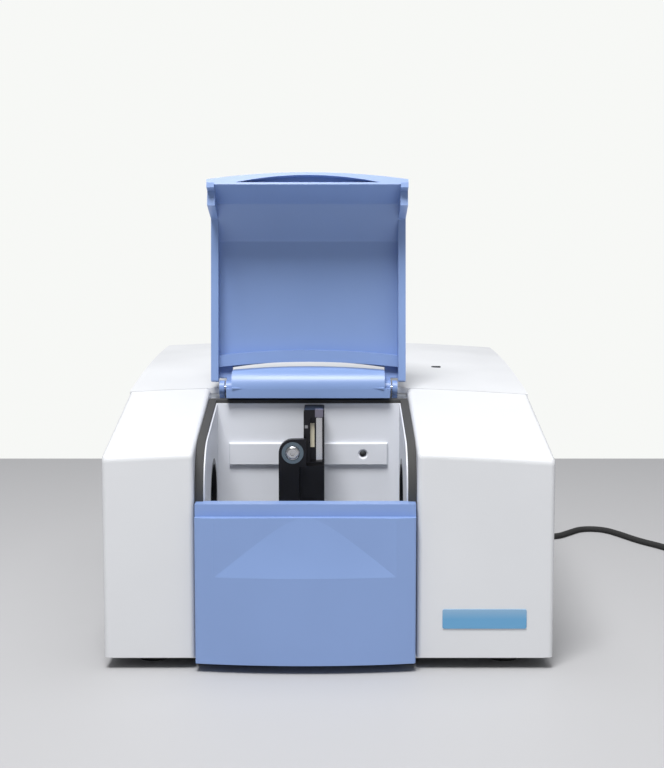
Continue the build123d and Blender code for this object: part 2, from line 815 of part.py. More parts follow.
# Tray with the main board's standoffs
board_z = 14.0
board_thickness = 1.6
board_x = 4.0
board_y = 52.0
board_length = 120.0
board_width = 110.0
standoff_places = [
    (board_x + x * (board_length / 2 - 6.0), board_y + y * (board_width / 2 - 6.0))
    for x in (-1, 1)
    for y in (-1, 1)
]
with BuildPart() as base_tray:
    with BuildSketch(Plane.XY.offset(frame_bottom)):
        with Locations((0, (seam_y + back_y - frame_inset) / 2)):
            Rectangle(width - 2 * frame_inset, back_y - frame_inset - seam_y)
        with Locations(*boss_places):
            Circle(screw_radius + shaft_fit, mode=Mode.SUBTRACT)
    extrude(amount=frame_plate)
    with BuildSketch(Plane.XY.offset(tray_top)):
        with Locations(*standoff_places):
            RegularPolygon(3.0, 6)
    extrude(amount=board_z - tray_top)
keep(base_tray, "base_tray")

screw_length = 14.0
with BuildPart() as cover_screws:
    for x, y in boss_places:
        with BuildSketch(Plane.XY.offset(frame_bottom)):
            with Locations((x, y)):
                Circle(screw_radius)
        extrude(amount=screw_length)
        with BuildSketch(Plane.XY.offset(frame_bottom)):
            with Locations((x, y)):
                Circle(2 * screw_radius)
        extrude(amount=-1.6)
keep(cover_screws, "cover_screws")

# Feet of the base and of the module
foot_radius = 8.0
foot_taper = 8.0
rear_foot_x = width / 2 - 22.0
rear_foot_inset = 38.0
feet = (
    (
        "base_feet",
        [
            (x, y)
            for x in (-rear_foot_x, rear_foot_x)
            for y in (seam_y + rear_foot_inset, back_y - rear_foot_inset)
        ],
    ),
    ("module_feet", [(x, panel_back + 14.0) for x in (-rear_foot_x, rear_foot_x)]),
)
for name, places in feet:
    with BuildPart() as foot_set:
        for x, y in places:
            with BuildSketch(Plane.XY.offset(frame_bottom)):
                with Locations((x, y)):
                    Circle(foot_radius)
            extrude(amount=-frame_bottom, taper=foot_taper)
    keep(foot_set, name)

bulkhead = rear_form(wall + fit, inside_left, inside_right, foot_height, seam_y, seam_y + frame_plate)
with BuildPart() as optics_bulkhead:
    add(bulkhead)
    with BuildSketch(Plane.XZ.offset(-seam_y)):
        with Locations((window_x, beam_z)):
            Circle(window_radius)
        with Locations((-guide_x, guide_z), (guide_x, guide_z)):
            Circle(guide_radius + shaft_fit)
        with Locations((connector_x, connector_z)):
            Rectangle(connector_width - 8.0, connector_height - 4.0)
    extrude(amount=-frame_plate, mode=Mode.SUBTRACT)
keep(optics_bulkhead, "optics_bulkhead")

with BuildPart() as beam_window:
    with BuildSketch(Plane.XZ.offset(-seam_y)):
        with Locations((window_x, beam_z)):
            Circle(window_radius - shaft_fit)
    extrude(amount=-frame_plate)
keep(beam_window, "beam_window")

with BuildPart() as guide_pins:
    with BuildSketch(Plane.XZ.offset(-seam_y)):
        with Locations((-guide_x, guide_z), (guide_x, guide_z)):
            Circle(guide_radius)
    extrude(amount=guide_length)
    with BuildSketch(Plane.XZ.offset(-seam_y)):
        with Locations((-guide_x, guide_z), (guide_x, guide_z)):
            Circle(guide_radius)
    extrude(amount=-frame_plate - 4.0)
    chamfer(guide_pins.faces().group_by(Axis.Y)[0].edges(), 1.0)
keep(guide_pins, "guide_pins")

plug_reach = 3.0
with BuildPart() as base_connector:
    with BuildSketch(Plane.XZ.offset(-seam_y)):
        with Locations((connector_x, connector_z)):
            Rectangle(connector_width - 8.4, connector_height - 4.4)
    extrude(amount=plug_reach)
    with BuildSketch(Plane.XZ.offset(-seam_y)):
        with Locations((connector_x, connector_z)):
            Rectangle(connector_width - 8.4, connector_height - 4.4)
    extrude(amount=-frame_plate)
    with BuildSketch(Plane.XZ.offset(-seam_y)):
        with Locations((connector_x, connector_z)):
            Rectangle(connector_width, connector_height)
    extrude(amount=-8.0)
    with BuildSketch(Plane.XZ.offset(-seam_y)):
        with Locations((connector_x, connector_z)):
            Rectangle(connector_width, connector_height)
            Rectangle(connector_width - 8.4, connector_height - 4.4, mode=Mode.SUBTRACT)
    extrude(amount=-frame_plate, mode=Mode.SUBTRACT)
keep(base_connector, "base_connector")

# Rear panel with its inlet, network socket and push button
socket_x = -2.0
socket_width = 16.0
socket_height = 13.5
inlet_x = 56.0
inlet_z = 32.0
inlet_radius = 5.6
jack_bore = 2.8
button_x = -46.0
button_radius = 6.0
button_travel = 1.5
rear_panel_back = back_y - wall
rear_plate = 2.0
bezel = 3.0
with BuildPart() as rear_panel:
    with BuildSketch(Plane.XZ.offset(-rear_panel_back)):
        with Locations((0, panel_z)):
            Rectangle(panel_width + 2 * bezel, panel_height + 2 * bezel)
        with Locations((socket_x, inlet_z)):
            Rectangle(socket_width, socket_height, mode=Mode.SUBTRACT)
        with Locations((inlet_x, inlet_z)):
            Circle(inlet_radius, mode=Mode.SUBTRACT)
        with Locations((button_x, inlet_z)):
            Circle(button_radius + 3.0, mode=Mode.SUBTRACT)
    extrude(amount=rear_plate)
keep(rear_panel, "rear_panel")

with BuildPart() as network_socket:
    with BuildSketch(Plane.XZ.offset(-rear_panel_back)):
        with Locations((socket_x, inlet_z)):
            Rectangle(socket_width - fit, socket_height - fit)
    extrude(amount=18.0)
    with BuildSketch(Plane.XZ.offset(-rear_panel_back)):
        with Locations((socket_x, inlet_z)):
            Rectangle(11.8, 8.0)
            with Locations((0, 5.0)):
                Rectangle(5.0, 3.0)
    extrude(amount=12.0, mode=Mode.SUBTRACT)
keep(network_socket, "network_socket")

with BuildPart() as power_inlet:
    with BuildSketch(Plane.XZ.offset(-rear_panel_back)):
        with Locations((inlet_x, inlet_z)):
            Circle(inlet_radius - shaft_fit)
            Circle(jack_bore, mode=Mode.SUBTRACT)
    extrude(amount=12.0)
    with BuildSketch(Plane.XZ.offset(-rear_panel_back + 12.0)):
        with Locations((inlet_x, inlet_z)):
            Circle(inlet_radius - shaft_fit)
    extrude(amount=2.0)
keep(power_inlet, "power_inlet")

with BuildPart() as button_bezel:
    with BuildSketch(Plane.XZ.offset(-rear_panel_back - 0.8)):
        with Locations((button_x, inlet_z)):
            Circle(button_radius + 4.0)
            Circle(button_radius + 0.5, mode=Mode.SUBTRACT)
    extrude(amount=0.8)
    with BuildSketch(Plane.XZ.offset(-rear_panel_back)):
        with Locations((button_x, inlet_z)):
            Circle(button_radius + 3.0 - shaft_fit)
            Circle(button_radius + 0.5, mode=Mode.SUBTRACT)
    extrude(amount=10.0)
    with BuildSketch(Plane.XZ.offset(-rear_panel_back + 10.0)):
        with Locations((button_x, inlet_z)):
            Circle(button_radius + 3.0 - shaft_fit)
    extrude(amount=2.0)
keep(button_bezel, "button_bezel")

button_proud = 1.8
with BuildPart() as power_button:
    with BuildSketch(Plane.XZ.offset(-rear_panel_back - button_proud)):
        with Locations((button_x, inlet_z)):
            Circle(button_radius)
    extrude(amount=button_proud + 10.0 - button_travel - 0.4)
    fillet(power_button.faces().sort_by(Axis.Y)[-1].edges(), 0.8)
keep(power_button, "power_button")

lamp_bottom = 128.5
with BuildPart() as status_lamp:
    with BuildSketch(Plane.XY.offset(lamp_bottom)):
        with Locations((lamp_x, lamp_y)):
            SlotOverall(lamp_length, lamp_width)
    extrude(amount=6.2)
keep(status_lamp, "status_lamp")

# Optical bench on pillars, and the main board under it
bench_low = 40.0
bench_thickness = 8.0
bench_top = bench_low + bench_thickness
bench_left = -98.0
bench_right = 98.0
bench_front = seam_y + 12.0
bench_back = back_y - 16.0
pillar_size = 10.0
pillar_places = [(x, y) for x in (-72.0, 72.0) for y in (seam_y + 22.0, back_y - 30.0)]
with BuildPart() as optical_bench:
    with BuildSketch(Plane.XY.offset(bench_low)):
        with Locations(((bench_left + bench_right) / 2, (bench_front + bench_back) / 2)):
            RectangleRounded(bench_right - bench_left, bench_back - bench_front, 6.0)
        with Locations(*boss_places):
            Circle(boss_radius + 3.0, mode=Mode.SUBTRACT)
    extrude(amount=bench_thickness)
    with BuildSketch(Plane.XY.offset(tray_top)):
        with Locations(*pillar_places):
            Rectangle(pillar_size, pillar_size)
    extrude(amount=bench_low - tray_top)
keep(optical_bench, "optical_bench")

with BuildPart() as main_board:
    with BuildSketch(Plane.XY.offset(board_z)):
        with Locations((board_x, board_y)):
            Rectangle(board_length, board_width)
    extrude(amount=board_thickness)
    with BuildSketch(Plane.XY.offset(board_z + board_thickness)):
        with Locations((board_x - 20, board_y - 15), (board_x + 26, board_y + 8)):
            Rectangle(18, 18)
        with Locations((board_x - 24, board_y + 26)):
            Rectangle(26, 10)
    extrude(amount=2.4)
keep(main_board, "main_board")


# Interferometer: a block with four ports, the beamsplitter on its diagonal and the swinging arm
split_x = -34.0
split_y = 40.0
block_half = 23.0
block_wall = 4.0
cube_bore = 14.0
with BuildPart() as interferometer_block:
    with BuildSketch(Plane.XY.offset(bench_top)):
        with Locations((split_x, split_y)):
            Rectangle(2 * block_half, 2 * block_half)
    extrude(amount=beam_z + block_half - 2.0 - bench_top)
    fillet(interferometer_block.edges().filter_by(Axis.Z), 3.0)
    with BuildSketch(Plane.XY.offset(bench_top + block_wall)):
        with Locations((split_x, split_y)):
            Rectangle(2 * (block_half - block_wall), 2 * (block_half - block_wall))
    extrude(amount=roof_back, mode=Mode.SUBTRACT)
    with BuildSketch(Plane.XZ.offset(-split_y)):
        with Locations((split_x, beam_z)):
            Circle(cube_bore)
    extrude(amount=2 * block_half, both=True, mode=Mode.SUBTRACT)
    with BuildSketch(Plane.YZ.offset(split_x)):
        with Locations((split_y, beam_z)):
            Circle(cube_bore)
    extrude(amount=2 * block_half, both=True, mode=Mode.SUBTRACT)
keep(interferometer_block, "interferometer_block")

cell_thickness = 4.0
cell_width = 44.0
split_plane = Plane(
    origin=(split_x, split_y, beam_z),
    x_dir=(cos(radians(45)), sin(radians(45)), 0),
    z_dir=(sin(radians(45)), -cos(radians(45)), 0),
)
splitter_radius = 16.0
with BuildPart() as beamsplitter_cell:
    with BuildSketch(split_plane):
        with Locations((0, (bench_top + block_wall - beam_z + 20.0) / 2)):
            Rectangle(cell_width, 20.0 + beam_z - bench_top - block_wall)
        Circle(splitter_radius, mode=Mode.SUBTRACT)
    extrude(amount=cell_thickness / 2, both=True)
keep(beamsplitter_cell, "beamsplitter_cell")
with BuildPart() as beamsplitter:
    with BuildSketch(split_plane):
        Circle(splitter_radius - shaft_fit)
    extrude(amount=cell_thickness / 2, both=True)
keep(beamsplitter, "beamsplitter")

arm_reach = 62.0
swing_x = split_x + arm_reach
swing_y = split_y + arm_reach
arm_thickness = 12.0
arm_width = 10.0
post_radius = 4.0
arm_low = beam_z - arm_thickness / 2
with BuildPart() as scan_pivot:
    with BuildSketch(Plane.XY.offset(bench_top)):
        with Locations((swing_x, swing_y)):
            Circle(2.2 * post_radius)
    extrude(amount=arm_low - 0.4 - bench_top)
    with BuildSketch(Plane.XY.offset(bench_top)):
        with Locations((swing_x, swing_y)):
            Circle(post_radius)
    extrude(amount=arm_low + arm_thickness + 4.0 - bench_top)
keep(scan_pivot, "scan_pivot")

with BuildPart() as scan_arm:
    with BuildSketch(Plane.XY.offset(arm_low)):
        with Locations((swing_x - arm_reach / 2, swing_y)):
            Rectangle(arm_reach, arm_width)
        with Locations((swing_x, swing_y - arm_reach / 2)):
            Rectangle(arm_width, arm_reach)
        with Locations((swing_x, swing_y)):
            Circle(2.2 * post_radius)
            Circle(post_radius + shaft_fit, mode=Mode.SUBTRACT)
    extrude(amount=arm_thickness)
    with BuildSketch(Plane.XZ.offset(-swing_y - arm_width / 2)):
        with Locations((split_x, beam_z)):
            Circle(cube_bore)
    extrude(amount=arm_width)
    with BuildSketch(Plane.YZ.offset(swing_x - arm_width / 2)):
        with Locations((split_y, beam_z)):
            Circle(cube_bore)
    extrude(amount=arm_width)
keep(scan_arm, "scan_arm")

retro_length = 16.0
retro_rim = 1.0
retro_places = (
    Plane(origin=(split_x, swing_y - arm_width / 2, beam_z), x_dir=(1, 0, 0), z_dir=(0, -1, 0)),
    Plane(origin=(swing_x - arm_width / 2, split_y, beam_z), x_dir=(0, 1, 0), z_dir=(-1, 0, 0)),
)
with BuildPart() as retro_mirrors:
    for place in retro_places:
        with BuildSketch(place):
            Circle(cube_bore)
        extrude(amount=retro_length)
        with BuildSketch(place.offset(retro_length)):
            Circle(cube_bore - retro_rim)
        extrude(amount=-retro_length + 4.0, taper=40.0, mode=Mode.SUBTRACT)
keep(retro_mirrors, "retro_mirrors")

coil_radius = 8.0
coil_wall = 1.5
coil_length = 10.0
magnet_gap = 2.5
magnet_wall = 4.0
arm_face = swing_y + arm_width / 2
with BuildPart() as voice_coil:
    with BuildSketch(Plane.XZ.offset(-arm_face)):
        with Locations((split_x, beam_z)):
            Circle(coil_radius)
            Circle(coil_radius - coil_wall, mode=Mode.SUBTRACT)
    extrude(amount=-coil_length)
keep(voice_coil, "voice_coil")

magnet_front = arm_face + 5.0
magnet_back = arm_face + coil_length + 10.0
yoke_radius = coil_radius + magnet_gap + magnet_wall
with BuildPart() as coil_magnet:
    with BuildSketch(Plane.XZ.offset(-magnet_front)):
        with Locations((split_x, beam_z)):
            Circle(yoke_radius)
            Circle(coil_radius + magnet_gap, mode=Mode.SUBTRACT)
            Circle(coil_radius - coil_wall - magnet_gap)
    extrude(amount=magnet_front - magnet_back)
    with BuildSketch(Plane.XZ.offset(-magnet_back + magnet_wall)):
        with Locations((split_x, beam_z)):
            Circle(yoke_radius)
    extrude(amount=-magnet_wall)
    with BuildSketch(Plane.XY.offset(bench_top)):
        with Locations((split_x, magnet_back - magnet_wall)):
            Rectangle(yoke_radius * 1.4, 2 * magnet_wall)
    extrude(amount=beam_z - yoke_radius + 1.5 - bench_top)
keep(coil_magnet, "coil_magnet")

# Infrared source with its collecting mirror, fold mirrors, reference laser and its detector
source_mirror_x = window_x
source_radius = 9.0
with BuildPart() as source_mirror:
    add(disc_at(source_mirror_x, split_y, beam_z, 45.0, 12.0, 5.0))
    add(mount_at(source_mirror_x, split_y, beam_z, 45.0, 12.0, bench_top, 5.0, 5.0))
keep(source_mirror, "source_mirror")
with BuildPart() as ir_source:
    with BuildSketch(Plane.XZ.offset(-split_y - 26.0)):
        with Locations((source_mirror_x, beam_z)):
            Circle(source_radius)
    extrude(amount=-30.0)
    with BuildSketch(Plane.XZ.offset(-split_y - 26.0)):
        with Locations((source_mirror_x, beam_z)):
            Circle(source_radius - 3.0)
    extrude(amount=-6.0, mode=Mode.SUBTRACT)
    with BuildSketch(Plane.XY.offset(bench_top)):
        with Locations((source_mirror_x, split_y + 42.0)):
            Rectangle(14.0, 20.0)
    extrude(amount=beam_z - source_radius + 1.0 - bench_top)
keep(ir_source, "ir_source")
fold_y = seam_y + 28.0
fold_turn = 135.0
fold_radius = 12.0
fold_thickness = 5.0
fold_mount = 5.0
with BuildPart() as fold_mirrors:
    for fold_x, turn in ((split_x, fold_turn), (window_x, fold_turn - 180.0)):
        add(disc_at(fold_x, fold_y, beam_z, turn, fold_radius, fold_thickness))
        add(mount_at(fold_x, fold_y, beam_z, turn, fold_radius, bench_top, fold_thickness, fold_mount))
keep(fold_mirrors, "fold_mirrors")
laser_x = 70.0
laser_y = 34.0
laser_width = 22.0
laser_length = 56.0
laser_height = 24.0
laser_round = 4.0
with BuildPart() as laser_module:
    with BuildSketch(Plane.XY.offset(bench_top)):
        with Locations((laser_x, laser_y)):
            Rectangle(laser_width, laser_length)
    extrude(amount=laser_height)
    fillet(laser_module.faces().sort_by(Axis.Z)[-1].edges().filter_by(Axis.Y), laser_round)
keep(laser_module, "laser_module")
sensor_x = -6.0
sensor_y = 2.0
sensor_post = 8.0
sensor_radius = 5.0
with BuildPart() as laser_detector:
    add(pillar(sensor_x, sensor_y, bench_top, beam_z, sensor_post))
    with BuildSketch(Plane.XZ.offset(-sensor_y - sensor_post / 2)):
        with Locations((sensor_x, beam_z)):
            Circle(sensor_radius)
    extrude(amount=sensor_post)
keep(laser_detector, "laser_detector")
cartridge_x = 66.0
cartridge_y = 96.0
cartridge_radius = 20.0
cartridge_height = 48.0
cartridge_round = 3.0
with BuildPart() as desiccant_cartridge:
    with BuildSketch(Plane.XY.offset(bench_top)):
        with Locations((cartridge_x, cartridge_y)):
            Circle(cartridge_radius)
    extrude(amount=cartridge_height)
    fillet(desiccant_cartridge.faces().sort_by(Axis.Z)[-1].edges(), cartridge_round)
keep(desiccant_cartridge, "desiccant_cartridge")

# Low-voltage lead: plug, strain relief, run on the table, coil with its tie, and end connector
lead = 4.0
lead_radius = lead / 2
plug_x = inlet_x
plug_body = 5.0
plug_length = 22.0
relief_length = 24.0
plug_face = back_y + 0.5
relief_end = plug_face + plug_length + relief_length
with BuildPart() as power_plug:
    with BuildSketch(Plane.XZ.offset(-plug_face)):
        with Locations((plug_x, inlet_z)):
            Circle(plug_body)
    extrude(amount=-plug_length)
    fillet(power_plug.edges(), 0.8)
    with BuildSketch(Plane.XZ.offset(-plug_face)):
        with Locations((plug_x, inlet_z)):
            Circle(jack_bore - shaft_fit)
    extrude(amount=13.0)
keep(power_plug, "power_plug")
with BuildPart() as strain_relief:
    with BuildSketch(Plane.XZ.offset(-plug_face - plug_length)):
        with Locations((plug_x, inlet_z)):
            Circle(lead_radius + 1.6)
    with BuildSketch(Plane.XZ.offset(-relief_end)):
        with Locations((plug_x, inlet_z)):
            Circle(lead_radius + 0.5)
    loft()
keep(strain_relief, "strain_relief")

outer_turn = 30.15
turn_pitch = 4.1
coil_turns = 3
coil_width = (coil_turns + 1) * turn_pitch
coil_middle = outer_turn - coil_turns * turn_pitch / 2
coil_height = 8.3
coil_x = 267.0
coil_y = 108.0
route = [
    (plug_x, relief_end, inlet_z),
    (plug_x, relief_end + 14.0, inlet_z),
    (plug_x + 7.0, relief_end + 29.0, inlet_z - 10.0),
    (plug_x + 20.0, relief_end + 39.0, inlet_z - 23.0),
    (plug_x + 43.0, relief_end + 35.0, lead_radius),
    (plug_x + 63.0, relief_end + 15.0, lead_radius),
    (plug_x + 73.0, relief_end - 9.0, lead_radius),
    (140.0, 166.0, lead_radius),
    (159.0, 161.0, lead_radius),
    (171.0, 176.0, lead_radius),
    (182.0, 190.0, lead_radius),
    (198.0, 188.0, lead_radius),
    (207.0, 170.0, lead_radius),
    (215.0, 149.0, lead_radius),
    (228.0, 129.0, lead_radius),
    (coil_x - outer_turn, coil_y, lead_radius),
]
bend_share = 0.45
radii = []
for before, corner, after in zip(route, route[1:], route[2:]):
    arriving = Vector(*corner) - Vector(*before)
    leaving = Vector(*after) - Vector(*corner)
    turn = arriving.get_angle(leaving)
    shorter = min(arriving.length, leaving.length)
    radii.append(bend_share * shorter / tan(radians(turn / 2)))
print("lead bends", [round(radius, 1) for radius in radii])
with BuildPart() as cord_run:
    with BuildLine() as lead_line:
        FilletPolyline(*route, radius=radii)
    with BuildSketch(Plane(origin=route[0], x_dir=(1, 0, 0), z_dir=(0, 1, 0))):
        Circle(lead_radius)
    sweep(path=lead_line.line)
print("lead run", round(sum(edge.length for edge in lead_line.edges()), 1))
keep(cord_run, "cord_run")

coil_axis = Axis((coil_x, coil_y, 0), (0, 0, 1))
with BuildPart() as cord_coil:
    with BuildSketch(Plane.XZ.offset(-coil_y)):
        with Locations((coil_x + coil_middle, coil_height / 2)):
            RectangleRounded(coil_width, coil_height, lead_radius)
    revolve(axis=coil_axis)
keep(cord_coil, "cord_coil")

tie_wall = 0.8
tie_width = 4.0
with BuildPart() as cord_tie:
    with BuildSketch(Plane.YZ.offset(coil_x - tie_width / 2)):
        with Locations((coil_y + coil_middle, coil_height / 2)):
            Rectangle(coil_width + 2 * tie_wall, coil_height + 2 * tie_wall)
    extrude(amount=tie_width)
    add(cord_coil.part, mode=Mode.SUBTRACT)
    with BuildSketch(Plane.XY):
        with Locations((coil_x, coil_y)):
            Rectangle(4 * coil_middle, 4 * coil_middle)
    extrude(amount=-coil_height, mode=Mode.SUBTRACT)
keep(cord_tie, "cord_tie")

tail_z = 4.6
upper_layer = coil_height - lead_radius - 0.1
tail_x = coil_x + outer_turn - turn_pitch * 7 / 6
tail_end = coil_y + 38.0
end_radius = 4.5
end_length = 26.0
tail_route = [
    (tail_x, coil_y, upper_layer),
    (tail_x, coil_y + 23.0, upper_layer),
    (tail_x, tail_end - 5.0, tail_z),
    (tail_x, tail_end, tail_z),
]
with BuildPart() as cord_tail:
    with BuildLine() as tail_line:
        FilletPolyline(*tail_route, radius=12.0)
    with BuildSketch(Plane.XZ.offset(-coil_y)):
        with Locations((tail_x, upper_layer)):
            Circle(lead_radius)
    sweep(path=tail_line.line)
keep(cord_tail, "cord_tail")
with BuildPart() as end_connector:
    with BuildSketch(Plane.XZ.offset(-tail_end)):
        with Locations((tail_x, tail_z)):
            Circle(end_radius)
    extrude(amount=-end_length)
    fillet(end_connector.edges(), 0.8)
keep(end_connector, "end_connector")
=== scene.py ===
"""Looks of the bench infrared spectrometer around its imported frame.

Named lengths are millimetres. The frame, the mesh data and the settings' lengths are metres.
"""

import math

import bmesh
import bpy
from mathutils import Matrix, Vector


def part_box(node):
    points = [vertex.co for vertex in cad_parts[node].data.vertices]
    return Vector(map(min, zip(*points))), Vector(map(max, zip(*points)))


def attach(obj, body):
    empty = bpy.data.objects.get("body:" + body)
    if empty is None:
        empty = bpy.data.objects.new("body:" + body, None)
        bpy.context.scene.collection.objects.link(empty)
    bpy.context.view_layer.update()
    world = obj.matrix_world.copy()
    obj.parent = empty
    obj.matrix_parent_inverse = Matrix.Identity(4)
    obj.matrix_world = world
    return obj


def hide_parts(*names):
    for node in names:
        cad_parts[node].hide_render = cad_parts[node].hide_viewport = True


bl_info = {
    "name": "Bench infrared spectrometer looks",
    "version": (1, 0, 0),
    "blender": (4, 5, 0),
    "location": "View3D > Sidebar > Spectrometer",
    "description": "Finishes and fine details of a bench infrared spectrometer",
    "category": "Add Mesh",
}

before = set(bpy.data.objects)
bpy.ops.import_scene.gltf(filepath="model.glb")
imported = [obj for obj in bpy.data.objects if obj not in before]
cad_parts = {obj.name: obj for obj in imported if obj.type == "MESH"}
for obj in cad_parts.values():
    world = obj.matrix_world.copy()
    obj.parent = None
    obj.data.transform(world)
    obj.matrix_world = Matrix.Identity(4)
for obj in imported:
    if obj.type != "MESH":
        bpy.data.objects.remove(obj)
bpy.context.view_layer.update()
MM = 0.001


# Sizes and colours that a user would change


class SpectrometerSizes(bpy.types.PropertyGroup):
    badge_width: bpy.props.FloatProperty(
        name="Badge width", description="Width of the bare badge on the right front housing",
        default=0.0411, min=0.01, max=0.06, unit="LENGTH")
    badge_height: bpy.props.FloatProperty(
        name="Badge height", description="Height of the bare badge",
        default=0.0097, min=0.004, max=0.02, unit="LENGTH")
    lead_diameter: bpy.props.FloatProperty(
        name="Lead diameter", description="Diameter of the low-voltage lead's jacket",
        default=0.004, min=0.003, max=0.006, unit="LENGTH")
    lead_length: bpy.props.FloatProperty(
        name="Lead length", description="Length of the lead along its own line",
        default=1.163, min=0.5, max=3.0, unit="LENGTH")


class SpectrometerColours(bpy.types.PropertyGroup):
    housing: bpy.props.FloatVectorProperty(
        name="Housing", description="Moulded housing covers",
        default=(0.68, 0.69, 0.71), size=3, min=0.0, max=1.0, subtype="COLOR")
    panel: bpy.props.FloatVectorProperty(
        name="Panel and lid", description="Blue front panel, lid and hinge cover",
        default=(0.220, 0.325, 0.590), size=3, min=0.0, max=1.0, subtype="COLOR")
    compartment: bpy.props.FloatVectorProperty(
        name="Compartment", description="Painted walls of the sample compartment",
        default=(0.76, 0.78, 0.83), size=3, min=0.0, max=1.0, subtype="COLOR")
    badge: bpy.props.FloatVectorProperty(
        name="Badge", description="Bare badge's ground",
        default=(0.114, 0.332, 0.565), size=3, min=0.0, max=1.0, subtype="COLOR")


# Node groups that several materials share

NOISE_LOW = 0.3
NOISE_HIGH = 0.7
GRAIN_ROUGHNESS = 0.6
DRIFT_DETAIL = 3.0


def group_with(name, inputs, outputs):
    """A new shader group with its sockets, and the nodes at its start and end."""
    tree = bpy.data.node_groups.new(name, "ShaderNodeTree")
    for label, kind, default in inputs:
        socket = tree.interface.new_socket(label, in_out="INPUT", socket_type=kind)
        socket.default_value = default
    for label, kind in outputs:
        tree.interface.new_socket(label, in_out="OUTPUT", socket_type=kind)
    entry = tree.nodes.new("NodeGroupInput")
    leave = tree.nodes.new("NodeGroupOutput")
    return tree, entry, leave


def grain_group():
    """Fine moulded or blasted grain, as a height from 0 to 1."""
    tree, entry, leave = group_with(
        "fine_grain",
        [("Vector", "NodeSocketVector", (0, 0, 0)), ("Scale", "NodeSocketFloat", 900.0),
         ("Detail", "NodeSocketFloat", 2.0)],
        [("Height", "NodeSocketFloat")])
    noise = tree.nodes.new("ShaderNodeTexNoise")
    noise.inputs["Roughness"].default_value = GRAIN_ROUGHNESS
    for socket in ("Vector", "Scale", "Detail"):
        tree.links.new(entry.outputs[socket], noise.inputs[socket])
    tree.links.new(noise.outputs["Fac"], leave.inputs["Height"])
    return tree


def tone_group():
    """A colour that drifts a little lighter and darker over the surface."""
    tree, entry, leave = group_with(
        "tone_drift",
        [("Vector", "NodeSocketVector", (0, 0, 0)), ("Colour", "NodeSocketColor", (1, 1, 1, 1)),
         ("Scale", "NodeSocketFloat", 14.0), ("Low", "NodeSocketFloat", 0.94),
         ("High", "NodeSocketFloat", 1.04)],
        [("Colour", "NodeSocketColor"), ("Drift", "NodeSocketFloat")])
    noise = tree.nodes.new("ShaderNodeTexNoise")
    noise.inputs["Detail"].default_value = DRIFT_DETAIL
    tree.links.new(entry.outputs["Vector"], noise.inputs["Vector"])
    tree.links.new(entry.outputs["Scale"], noise.inputs["Scale"])
    span = tree.nodes.new("ShaderNodeMapRange")
    span.inputs["From Min"].default_value = NOISE_LOW
    span.inputs["From Max"].default_value = NOISE_HIGH
    tree.links.new(noise.outputs["Fac"], span.inputs["Value"])
    tree.links.new(entry.outputs["Low"], span.inputs["To Min"])
    tree.links.new(entry.outputs["High"], span.inputs["To Max"])
    scaled = tree.nodes.new("ShaderNodeVectorMath")
    scaled.operation = "SCALE"
    tree.links.new(entry.outputs["Colour"], scaled.inputs["Vector"])
    tree.links.new(span.outputs["Result"], scaled.inputs["Scale"])
    tree.links.new(scaled.outputs["Vector"], leave.inputs["Colour"])
    tree.links.new(noise.outputs["Fac"], leave.inputs["Drift"])
    return tree


GROUPS = {"grain": grain_group(), "tone": tone_group()}


def place_group(tree, group):
    """A node in the tree that holds one of the shared groups."""
    node = tree.nodes.new("ShaderNodeGroup")
    node.node_tree = GROUPS[group]
    return node


COAT_ROUGHNESS = 0.12
SMOOTHEST = 0.02
GRAIN_STRENGTH = 0.35


def finish_material(name, colour, roughness, metallic=0.0, spread=0.05, tone=0.04,
                    tone_scale=14.0, grain=900.0, grain_depth=0.02, stretch=(1, 1, 1),
                    coat=0.0, transmission=0.0):
    """A Principled material whose tone, roughness and relief vary over the surface."""
    material = bpy.data.materials.new(name)
    material.use_nodes = True
    tree = material.node_tree
    shader = tree.nodes["Principled BSDF"]
    shader.inputs["Metallic"].default_value = metallic
    shader.inputs["Coat Weight"].default_value = coat
    shader.inputs["Coat Roughness"].default_value = COAT_ROUGHNESS
    shader.inputs["Transmission Weight"].default_value = transmission
    where = tree.nodes.new("ShaderNodeTexCoord")
    turned = tree.nodes.new("ShaderNodeMapping")
    turned.inputs["Scale"].default_value = stretch
    tree.links.new(where.outputs["Object"], turned.inputs["Vector"])
    drift = place_group(tree, "tone")
    tree.links.new(where.outputs["Object"], drift.inputs["Vector"])
    drift.inputs["Colour"].default_value = (*colour, 1.0)
    drift.inputs["Scale"].default_value = tone_scale
    drift.inputs["Low"].default_value = 1.0 - tone
    drift.inputs["High"].default_value = 1.0 + tone
    tree.links.new(drift.outputs["Colour"], shader.inputs["Base Color"])
    sheen = tree.nodes.new("ShaderNodeMapRange")
    sheen.inputs["From Min"].default_value = NOISE_LOW
    sheen.inputs["From Max"].default_value = NOISE_HIGH
    sheen.inputs["To Min"].default_value = max(SMOOTHEST, roughness - spread)
    sheen.inputs["To Max"].default_value = min(1.0, roughness + spread)
    tree.links.new(drift.outputs["Drift"], sheen.inputs["Value"])
    tree.links.new(sheen.outputs["Result"], shader.inputs["Roughness"])
    if grain_depth > 0:
        relief = place_group(tree, "grain")
        relief.inputs["Scale"].default_value = grain
        tree.links.new(turned.outputs["Vector"], relief.inputs["Vector"])
        bump = tree.nodes.new("ShaderNodeBump")
        bump.inputs["Strength"].default_value = GRAIN_STRENGTH
        bump.inputs["Distance"].default_value = grain_depth * MM
        tree.links.new(relief.outputs["Height"], bump.inputs["Height"])
        tree.links.new(bump.outputs["Normal"], shader.inputs["Normal"])
    return material


